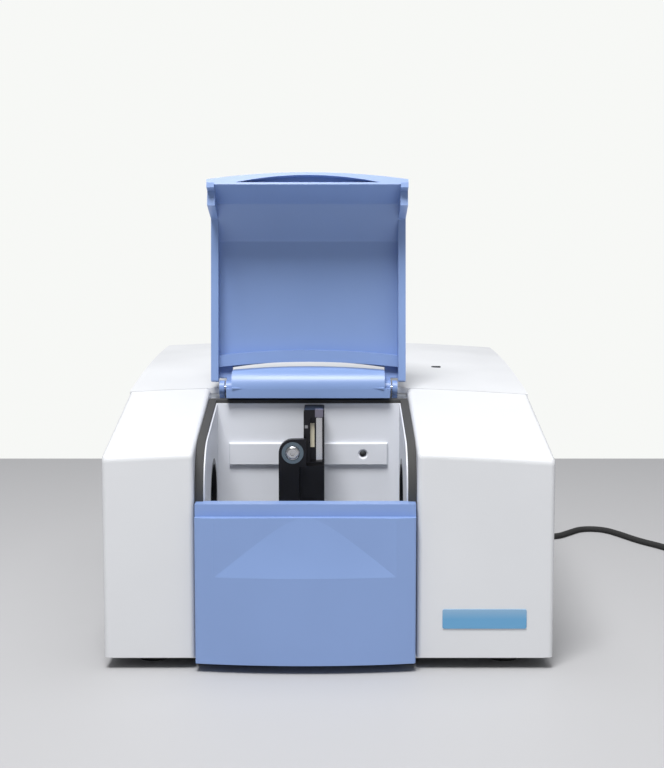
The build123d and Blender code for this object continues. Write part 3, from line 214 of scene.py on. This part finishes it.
# Finish of each node: the material's name, then the nodes that wear it
NODE_FINISH = {
    "housing_plastic": ["base_cover", "left_tower_cover", "right_tower_cover"],
    "panel_plastic": ["front_panel", "lid", "hinge_cover", "hinge_brackets"],
    "compartment_paint": ["compartment_tub", "mounting_bar"],
    "seal_rubber": ["compartment_seal"],
    "foot_rubber": ["base_feet", "module_feet"],
    "turned_steel": ["hinge_pins", "holder_screw", "guide_pins", "cover_screws", "scan_pivot"],
    "blued_steel": ["holder_washer"],
    "spring_steel": ["spring_clips"],
    "black_anodised": ["holder_plate", "slide_block", "port_sleeves"],
    "rear_paint": ["rear_panel"],
    "window_glass": ["port_windows", "beam_window", "beamsplitter"],
    "cast_aluminium": ["module_frame", "base_tray", "optics_bulkhead", "optical_bench",
                       "interferometer_block"],
    "milled_aluminium": ["beamsplitter_cell", "scan_arm", "mirror_mounts"],
    "gold_coating": ["focusing_mirrors", "source_mirror", "fold_mirrors", "retro_mirrors"],
    "black_plastic": ["module_connector", "base_connector", "network_socket", "power_inlet",
                      "button_bezel", "power_plug", "end_connector", "laser_module",
                      "detector_module", "laser_detector"],
    "button_plastic": ["power_button"],
    "lamp_lens": ["status_lamp"],
    "lead_jacket": ["strain_relief", "cord_tie"],
    "board_mask": ["main_board"],
    "magnet_plating": ["coil_magnet", "ir_source"],
    "coil_copper": ["voice_coil"],
    "desiccant_shell": ["desiccant_cartridge"],
}


class FTIR_OT_finishes(bpy.types.Operator):
    """Give every part of the frame its finish"""

    bl_idname = "ftir.finishes"
    bl_label = "Finishes"

    def execute(self, context):
        colours = context.scene.spectrometer_colours
        make = finish_material
        make("housing_plastic", tuple(colours.housing), 0.42, tone=0.02, grain=1400)
        make("panel_plastic", tuple(colours.panel), 0.36, tone=0.03, grain=1400)
        make("compartment_paint", tuple(colours.compartment), 0.45, tone=0.03, grain=700)
        make("seal_rubber", (0.075, 0.071, 0.066), 0.62, tone=0.10, grain=1100, grain_depth=0.04)
        make("foot_rubber", (0.02, 0.02, 0.021), 0.75, tone=0.08, grain=900, grain_depth=0.05)
        make("turned_steel", (0.62, 0.62, 0.63), 0.24, 1.0, tone=0.05, grain=260,
             grain_depth=0.015, stretch=(1, 18, 1))
        make("blued_steel", (0.17, 0.22, 0.26), 0.22, 1.0, tone=0.06, grain=260, grain_depth=0.015)
        make("spring_steel", (0.66, 0.66, 0.68), 0.2, 1.0, tone=0.05, grain=500,
             grain_depth=0.01, stretch=(14, 14, 1))
        make("black_anodised", (0.010, 0.010, 0.012), 0.36, 1.0, tone=0.10, grain=1800,
             grain_depth=0.015)
        make("rear_paint", (0.10, 0.105, 0.115), 0.5, tone=0.05, grain=700, grain_depth=0.05)
        make("window_glass", (0.09, 0.10, 0.12), 0.05, spread=0.02, tone=0.02, grain_depth=0.0,
             transmission=0.8)
        make("cast_aluminium", (0.52, 0.53, 0.54), 0.48, 0.9, tone=0.07, grain=600,
             grain_depth=0.08)
        make("milled_aluminium", (0.60, 0.61, 0.62), 0.3, 1.0, tone=0.05, grain=300,
             stretch=(1, 1, 16))
        make("gold_coating", (0.86, 0.64, 0.28), 0.06, 1.0, spread=0.02, tone=0.02,
             grain_depth=0.0)
        make("black_plastic", (0.016, 0.016, 0.017), 0.45, tone=0.10, grain=1300)
        make("button_plastic", (0.28, 0.29, 0.31), 0.4, tone=0.04, grain=1200)
        make("lamp_lens", (0.012, 0.014, 0.022), 0.12, spread=0.03, tone=0.05,
             grain_depth=0.0, coat=0.5)
        make("lead_jacket", (0.014, 0.014, 0.015), 0.38, tone=0.12, grain=700, grain_depth=0.03)
        make("board_mask", (0.012, 0.09, 0.04), 0.3, tone=0.15, tone_scale=160, grain=500,
             grain_depth=0.03)
        make("magnet_plating", (0.42, 0.42, 0.43), 0.28, 1.0, tone=0.06, grain=500)
        make("coil_copper", (0.56, 0.24, 0.11), 0.32, 1.0, tone=0.10, grain=2600, grain_depth=0.05,
             stretch=(1, 1, 0.1))
        make("desiccant_shell", (0.62, 0.62, 0.58), 0.35)
        for name, nodes in NODE_FINISH.items():
            for node in nodes:
                dress(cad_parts[node], name)
        return {"FINISHED"}


def dress(obj, name):
    """Give the object one finish in place of what it wears."""
    obj.data.materials.clear()
    obj.data.materials.append(bpy.data.materials[name])


# Helpers for new pieces


def mesh_object(name, form):
    """A mesh object at the origin, filled by form(bm) with vertices in metres."""
    mesh = bpy.data.meshes.new(name)
    bm = bmesh.new()
    form(bm)
    bmesh.ops.recalc_face_normals(bm, faces=bm.faces[:])
    bm.to_mesh(mesh)
    bm.free()
    obj = bpy.data.objects.new(name, mesh)
    bpy.context.scene.collection.objects.link(obj)
    return obj


def rounded_outline(width, height, radius, steps=6):
    """Corner points of a rounded rectangle about the origin, counterclockwise."""
    points = []
    for quarter, (sx, sz) in enumerate(((1, 1), (-1, 1), (-1, -1), (1, -1))):
        for step in range(steps + 1):
            angle = math.radians(90 * quarter + 90 * step / steps)
            points.append((sx * (width / 2 - radius) + radius * math.cos(angle),
                           sz * (height / 2 - radius) + radius * math.sin(angle)))
    return points


BADGE_X = 76.2
BADGE_Z = 25.4
BADGE_THICK = 0.5
BADGE_ROUND = 0.9
BADGE_GAP = 0.02
BADGE_EDGE = 0.15
# Painted highlight on the badge: towards its upper edge the colour is mixed to this share of itself
# plus this lift
BADGE_HIGHLIGHT_SHARE = 0.75
BADGE_HIGHLIGHT_LIFT = 0.16


class FTIR_OT_badge(bpy.types.Operator):
    """Put the bare badge on the right front housing"""

    bl_idname = "ftir.badge"
    bl_label = "Badge"

    def execute(self, context):
        sizes = context.scene.spectrometer_sizes
        face_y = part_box("right_tower_cover")[0][1]

        def form(bm):
            outline = rounded_outline(sizes.badge_width, sizes.badge_height, BADGE_ROUND * MM)
            ring = [bm.verts.new((BADGE_X * MM + x, face_y - BADGE_GAP * MM, BADGE_Z * MM + z))
                    for x, z in outline]
            base = bm.faces.new(ring)
            front = bmesh.ops.extrude_face_region(bm, geom=[base])
            moved = [v for v in front["geom"] if isinstance(v, bmesh.types.BMVert)]
            bmesh.ops.translate(bm, verts=moved, vec=(0, -BADGE_THICK * MM, 0))
            edges = [e for e in bm.edges if all(v in moved for v in e.verts)]
            bmesh.ops.bevel(bm, geom=edges, offset=BADGE_EDGE * MM, segments=2, affect="EDGES",
                            profile=0.5)

        badge = mesh_object("badge", form)
        badge.data.materials.append(self.ground(context))
        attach(badge, "module")
        return {"FINISHED"}

    def ground(self, context):
        """The badge's own material: its ground colour, with a painted highlight that makes it
        lighter towards its upper edge.
        """
        colour = tuple(context.scene.spectrometer_colours.badge)
        material = finish_material("badge_ground", colour, 0.3, tone=0.02, grain_depth=0.0,
                                   coat=0.4)
        tree = material.node_tree
        shader = tree.nodes["Principled BSDF"]
        where = tree.nodes.new("ShaderNodeTexCoord")
        apart = tree.nodes.new("ShaderNodeSeparateXYZ")
        highlight_ramp = tree.nodes.new("ShaderNodeMapRange")
        half = context.scene.spectrometer_sizes.badge_height / 2
        highlight_ramp.inputs["From Min"].default_value = BADGE_Z * MM
        highlight_ramp.inputs["From Max"].default_value = BADGE_Z * MM + half
        blend = tree.nodes.new("ShaderNodeMix")
        blend.data_type = "RGBA"
        blend.inputs["A"].default_value = (*colour, 1)
        # Painted highlight: the lighter blue that the badge's upper half blends into, from its
        # middle to its upper edge
        lighter = (min(1.0, BADGE_HIGHLIGHT_SHARE * c + BADGE_HIGHLIGHT_LIFT) for c in colour)
        blend.inputs["B"].default_value = (*lighter, 1)
        tree.links.new(where.outputs["Object"], apart.inputs["Vector"])
        tree.links.new(apart.outputs["Z"], highlight_ramp.inputs["Value"])
        tree.links.new(highlight_ramp.outputs["Result"], blend.inputs["Factor"])
        tree.links.new(blend.outputs["Result"], shader.inputs["Base Color"])
        return material


# Fine pieces of the holder, by lowest and highest corner, and of the hinge cover
HOLDER_CAP = ((-7.3, -80.35, 116.9), (-2.9, -77.0, 121.4))
HOLDER_MARK = ((-12.6, -80.12, 111.2), (-11.0, -79.9, 112.8))
RIB_BACK = -56.55
RIB_Z = 129.9
RIB_SPANS = ((-52.3, -43.8), (29.8, 21.3))
RIB_ROOT = ((0.6, -0.5), (-0.7, -0.5), (-0.7, 0.3), (0.6, 0.9))
RIB_TIP = 0.3
CREAM_SPLIT = 0.6


def box_form(low, high, soften):
    """A form that builds a box between two corners, its edges softened."""
    def form(bm):
        made = bmesh.ops.create_cube(bm, size=1.0)["verts"]
        size = [(h - l) * MM for l, h in zip(low, high)]
        middle = [(h + l) / 2 * MM for l, h in zip(low, high)]
        bmesh.ops.scale(bm, vec=size, verts=made)
        bmesh.ops.translate(bm, vec=middle, verts=made)
        bmesh.ops.bevel(bm, geom=bm.edges[:], offset=soften * MM, segments=2, affect="EDGES",
                        profile=0.5)
    return form


def wedge_form(start, end):
    """A form that builds a rib from start to end along X, tapering to nothing."""
    def form(bm):
        tip = bm.verts.new((end * MM, (RIB_BACK + RIB_TIP) * MM, RIB_Z * MM))
        ring = [bm.verts.new((start * MM, (RIB_BACK + y) * MM, (RIB_Z + z) * MM))
                for y, z in RIB_ROOT]
        bm.faces.new(ring)
        for first, second in zip(ring, ring[1:] + ring[:1]):
            bm.faces.new((first, second, tip))
    return form


class FTIR_OT_trim(bpy.types.Operator):
    """Add the holder's cap, mark and cream strip and the tapered ribs of the hinge cover"""

    bl_idname = "ftir.trim"
    bl_label = "Trim"

    def execute(self, context):
        make = finish_material
        make("cap_film", (0.16, 0.15, 0.2), 0.22, 0.3, tone=0.05, grain_depth=0.0, coat=0.5)
        make("mark_grey", (0.24, 0.24, 0.25), 0.5, tone=0.03, grain_depth=0.0)
        make("cream_film", (0.72, 0.66, 0.5), 0.4, tone=0.05, grain=500, grain_depth=0.01)
        pieces = [
            ("holder_cap", box_form(*HOLDER_CAP, 0.3), "cap_film", "black_anodised"),
            ("holder_mark", box_form(*HOLDER_MARK, 0.05), "mark_grey", "black_anodised"),
            ("cover_rib_left", wedge_form(*RIB_SPANS[0]), "panel_plastic", "blue_moulding"),
            ("cover_rib_right", wedge_form(*RIB_SPANS[1]), "panel_plastic", "blue_moulding"),
        ]
        for name, form, material, slot in pieces:
            piece = mesh_object(name, form)
            piece.data.materials.append(bpy.data.materials[material])
            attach(piece, "module")
        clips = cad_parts["spring_clips"]
        clips.data.materials.append(bpy.data.materials["cream_film"])
        low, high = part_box("spring_clips")
        middle = (low[0] + high[0]) / 2 - CREAM_SPLIT * MM
        for face in clips.data.polygons:
            if face.center.x < middle:
                face.material_index = 1
        return {"FINISHED"}


# The lead's line, from the same points as the source of the part
PLUG_X = 56.0
RELIEF_END = 196.5
INLET_Z = 32.0
LEAD_RADIUS = 2.0
COIL_X = 267.0
COIL_Y = 108.0
OUTER_TURN = 30.15
TURN_PITCH = 4.1
LAYER_Z = (2.05, 6.2)
POINTS_PER_TURN = 24
DOWN_TURNS = 3.0
CLIMB_TURNS = 1 / 6
UP_TURNS = 2 + 1 / 3
TAIL_STEPS = ((12.0, LAYER_Z[1]), (23.0, LAYER_Z[1]), (33.0, 4.6), (38.0, 4.6))
ROUTE = [
    (PLUG_X, RELIEF_END, INLET_Z),
    (PLUG_X, RELIEF_END + 14.0, INLET_Z),
    (PLUG_X + 7.0, RELIEF_END + 29.0, INLET_Z - 10.0),
    (PLUG_X + 20.0, RELIEF_END + 39.0, INLET_Z - 23.0),
    (PLUG_X + 43.0, RELIEF_END + 35.0, LEAD_RADIUS),
    (PLUG_X + 63.0, RELIEF_END + 15.0, LEAD_RADIUS),
    (PLUG_X + 73.0, RELIEF_END - 9.0, LEAD_RADIUS),
    (140.0, 166.0, LEAD_RADIUS),
    (159.0, 161.0, LEAD_RADIUS),
    (171.0, 176.0, LEAD_RADIUS),
    (182.0, 190.0, LEAD_RADIUS),
    (198.0, 188.0, LEAD_RADIUS),
    (207.0, 170.0, LEAD_RADIUS),
    (215.0, 149.0, LEAD_RADIUS),
    (228.0, 129.0, LEAD_RADIUS),
]


def coil_points():
    """Two layers: three turns winding inwards, a short climb, then two and a third outwards."""
    points = []
    inner_turn = OUTER_TURN - DOWN_TURNS * TURN_PITCH
    layer_rise = LAYER_Z[1] - LAYER_Z[0]
    total = DOWN_TURNS + CLIMB_TURNS + UP_TURNS
    for step in range(round(total * POINTS_PER_TURN) + 1):
        turns = step / POINTS_PER_TURN
        if turns <= DOWN_TURNS:
            radius = OUTER_TURN - TURN_PITCH * turns
            height = LAYER_Z[0]
        elif turns <= DOWN_TURNS + CLIMB_TURNS:
            radius = inner_turn
            height = LAYER_Z[0] + layer_rise * (turns - DOWN_TURNS) / CLIMB_TURNS
        else:
            radius = inner_turn + TURN_PITCH * (turns - DOWN_TURNS - CLIMB_TURNS)
            height = LAYER_Z[1]
        radius /= math.cos(math.pi / POINTS_PER_TURN)
        angle = math.pi + 2 * math.pi * turns
        points.append((COIL_X + radius * math.cos(angle), COIL_Y + radius * math.sin(angle),
                       height))
    return points


def tail_points():
    """The short straight end that leaves the coil for the end connector."""
    last_x = coil_points()[-1][0]
    return [(last_x, COIL_Y + reach, height) for reach, height in TAIL_STEPS]


class FTIR_OT_lead(bpy.types.Operator):
    """Lay the low-voltage lead from its plug to the coil and the end connector"""

    bl_idname = "ftir.lead"
    bl_label = "Lead"

    def execute(self, context):
        sizes = context.scene.spectrometer_sizes
        points = ROUTE + coil_points() + tail_points()
        curve = bpy.data.curves.new("lead", "CURVE")
        curve.dimensions = "3D"
        curve.resolution_u = 6
        curve.bevel_depth = sizes.lead_diameter / 2
        curve.bevel_resolution = 5
        curve.use_fill_caps = True
        line = curve.splines.new("NURBS")
        line.points.add(len(points) - 1)
        for slot, point in zip(line.points, points):
            slot.co = (*(c * MM for c in point), 1.0)
        line.order_u = 3
        line.use_endpoint_u = True
        lead = bpy.data.objects.new("lead", curve)
        context.scene.collection.objects.link(lead)
        curve.materials.append(bpy.data.materials["lead_jacket"])
        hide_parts("cord_run", "cord_coil", "cord_tail")
        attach(lead, "base")
        return {"FINISHED"}


# Floor, lights and camera, which aren't part of the object

CAMERA_PLACE = (1.7, -809.6, 208.1)
CAMERA_PITCH = 5.75
FOCAL_PIXELS = 1400.0
PICTURE_HEIGHT = 768.0
SENSOR = 36.0
FLOOR_HALF = 1300.0
FLOOR_BACK = 535.0
FLOOR_GREY = (0.44, 0.44, 0.45, 1)
FLOOR_ROUGHNESS = 0.6
LIGHT_AIM = (0, 0, 80.0)
LIGHTS = [
    ("key_light", (-200.0, -900.0, 1700.0), 700.0, 38.0),
    ("fill_light", (800.0, -1300.0, 400.0), 1200.0, 1.5),
    ("top_light", (100.0, 0.0, 1600.0), 1400.0, 11.0),
]
SKY_COLOUR = (0.95, 0.97, 1.0, 1)
SKY_STRENGTH = 0.22
WALL_COLOUR = (0.93, 0.94, 0.92, 1)


def soft_light(name, place, size, power):
    """A square area light that looks at the middle of the instrument."""
    data = bpy.data.lights.new(name, "AREA")
    data.size = size * MM
    data.energy = power
    light = bpy.data.objects.new(name, data)
    light.location = [c * MM for c in place]
    aim = Vector(LIGHT_AIM) - Vector(place)
    light.rotation_euler = aim.to_track_quat("-Z", "Y").to_euler()
    bpy.context.scene.collection.objects.link(light)


class FTIR_OT_stage(bpy.types.Operator):
    """Set the floor, the lights and the camera"""

    bl_idname = "ftir.stage"
    bl_label = "Stage"

    def execute(self, context):
        scene = context.scene

        def table_top(bm):
            made = bmesh.ops.create_grid(bm, x_segments=1, y_segments=1, size=FLOOR_HALF * MM)
            bmesh.ops.translate(bm, verts=made["verts"], vec=(0, (FLOOR_BACK - FLOOR_HALF) * MM, 0))

        floor = mesh_object("floor", table_top)
        pale = bpy.data.materials.new("floor_pale")
        pale.use_nodes = True
        shader = pale.node_tree.nodes["Principled BSDF"]
        shader.inputs["Base Color"].default_value = FLOOR_GREY
        shader.inputs["Roughness"].default_value = FLOOR_ROUGHNESS
        floor.data.materials.append(pale)
        self.surround(scene)
        for light in LIGHTS:
            soft_light(*light)
        lens = bpy.data.cameras.new("camera")
        lens.sensor_width = SENSOR
        lens.sensor_fit = "AUTO"
        lens.lens = FOCAL_PIXELS / PICTURE_HEIGHT * SENSOR
        camera = bpy.data.objects.new("camera", lens)
        camera.location = [c * MM for c in CAMERA_PLACE]
        camera.rotation_euler = (math.radians(90 - CAMERA_PITCH), 0, 0)
        scene.collection.objects.link(camera)
        scene.camera = camera
        scene.view_settings.view_transform = "Standard"
        return {"FINISHED"}

    def surround(self, scene):
        """Soft light from all round, behind a wall that the camera alone sees."""
        world = bpy.data.worlds.new("studio")
        scene.world = world
        world.use_nodes = True
        nodes, links = world.node_tree.nodes, world.node_tree.links
        sky = nodes["Background"]
        sky.inputs["Color"].default_value = SKY_COLOUR
        sky.inputs["Strength"].default_value = SKY_STRENGTH
        wall = nodes.new("ShaderNodeBackground")
        wall.inputs["Color"].default_value = WALL_COLOUR
        path = nodes.new("ShaderNodeLightPath")
        choice = nodes.new("ShaderNodeMixShader")
        links.new(path.outputs["Is Camera Ray"], choice.inputs["Fac"])
        links.new(sky.outputs["Background"], choice.inputs[1])
        links.new(wall.outputs["Background"], choice.inputs[2])
        links.new(choice.outputs["Shader"], nodes["World Output"].inputs["Surface"])


class FTIR_PT_parts(bpy.types.Panel):
    """Sizes, colours and the operators that make each piece"""

    bl_label = "Spectrometer"
    bl_idname = "FTIR_PT_parts"
    bl_space_type = "VIEW_3D"
    bl_region_type = "UI"
    bl_category = "Spectrometer"

    def draw(self, context):
        for settings in (context.scene.spectrometer_sizes, context.scene.spectrometer_colours):
            for name in settings.__annotations__:
                self.layout.prop(settings, name)
        for operator in OPERATORS:
            self.layout.operator(operator.bl_idname)


OPERATORS = (FTIR_OT_finishes, FTIR_OT_badge, FTIR_OT_trim, FTIR_OT_lead, FTIR_OT_stage)
CLASSES = (SpectrometerSizes, SpectrometerColours, *OPERATORS, FTIR_PT_parts)


def register():
    for kind in CLASSES:
        bpy.utils.register_class(kind)
    bpy.types.Scene.spectrometer_sizes = bpy.props.PointerProperty(type=SpectrometerSizes)
    bpy.types.Scene.spectrometer_colours = bpy.props.PointerProperty(type=SpectrometerColours)


def unregister():
    del bpy.types.Scene.spectrometer_colours
    del bpy.types.Scene.spectrometer_sizes
    for kind in reversed(CLASSES):
        bpy.utils.unregister_class(kind)


def main():
    register()
    bpy.ops.ftir.finishes()
    bpy.ops.ftir.badge()
    bpy.ops.ftir.trim()
    bpy.ops.ftir.lead()
    bpy.ops.ftir.stage()


if __name__ == "__main__":
    main()
